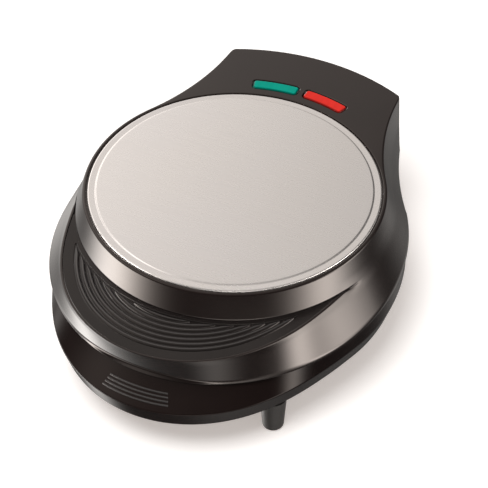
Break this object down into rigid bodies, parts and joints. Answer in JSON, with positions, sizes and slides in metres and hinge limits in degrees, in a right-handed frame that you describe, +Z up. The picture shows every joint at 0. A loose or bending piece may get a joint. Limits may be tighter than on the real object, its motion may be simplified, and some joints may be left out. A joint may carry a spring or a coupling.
{
  "type": "electric omelette maker",
  "caption": "Countertop omelette maker: hinged lid with a brushed steel disc, ribbed grip crescent and lamp lenses over a lipped base, with half-moon cooking plates inside.",
  "frame": {"origin": "middle of the bounding box's underside, on the surface that the feet stand on", "axes": "+Z up, -Y towards the grip at the front, +Y towards the hinge, +X to the right seen from the front"},
  "size_m": [0.2218, 0.2884, 0.0959],
  "materials": {
    "gloss_black": "polished moulded plastic",
    "matt_black": "finely textured moulded plastic",
    "brushed_steel": "brushed stainless steel sheet",
    "plain_steel": "plated steel",
    "heating_steel": "dull oxidised steel tube",
    "coated_plate": "cast aluminium with a dark non-stick coating",
    "green_lens": "tinted clear plastic",
    "red_lens": "tinted clear plastic",
    "lamp_glass": "clear glass",
    "white_plastic": "heat-proof plastic",
    "foot_rubber": "moulded dark rubber"
  },
  "bodies": {
    "base": {"base_housing": "gloss_black", "hinge_pin_left": "plain_steel", "hinge_pin_right": "plain_steel", "lower_cooking_plate": "coated_plate", "lower_heater": "heating_steel", "lower_heater_clip_left": "plain_steel", "lower_heater_clip_right": "plain_steel", "lower_heat_shield": "plain_steel", "lower_plate_screw_front_left": "plain_steel", "lower_plate_screw_front_right": "plain_steel", "lower_plate_screw_rear_left": "plain_steel", "lower_plate_screw_rear_right": "plain_steel", "thermostat": "white_plastic", "terminal_block": "white_plastic", "thermal_fuse": "plain_steel", "bottom_cover": "matt_black", "cover_screw_front_left": "plain_steel", "cover_screw_front_right": "plain_steel", "cover_screw_rear_left": "plain_steel", "cover_screw_rear_right": "plain_steel", "foot_front_left": "foot_rubber", "foot_front_right": "foot_rubber", "foot_rear_left": "foot_rubber", "foot_rear_right": "foot_rubber", "foot_screw_front_left": "plain_steel", "foot_screw_front_right": "plain_steel", "foot_screw_rear_left": "plain_steel", "foot_screw_rear_right": "plain_steel", "cord_gland": "foot_rubber"},
    "lid": {"lid_cover": "gloss_black", "grip_insert": "matt_black", "steel_disc": "brushed_steel", "ready_lens": "green_lens", "power_lens": "red_lens", "lamp_holder": "white_plastic", "ready_lamp": "lamp_glass", "power_lamp": "lamp_glass", "lid_frame": "matt_black", "upper_cooking_plate": "coated_plate", "upper_heater": "heating_steel", "upper_heater_clip_left": "plain_steel", "upper_heater_clip_right": "plain_steel", "upper_heat_shield": "plain_steel", "upper_plate_screw_front_left": "plain_steel", "upper_plate_screw_front_right": "plain_steel", "upper_plate_screw_rear_left": "plain_steel", "upper_plate_screw_rear_right": "plain_steel"}
  },
  "joints": [
    {"name": "lid_hinge", "type": "hinge", "parent": "base", "child": "lid", "pos_m": [0, 0.1244, 0.053], "axis": [-1, 0, 0], "range_deg": [0, 100]}
  ]
}
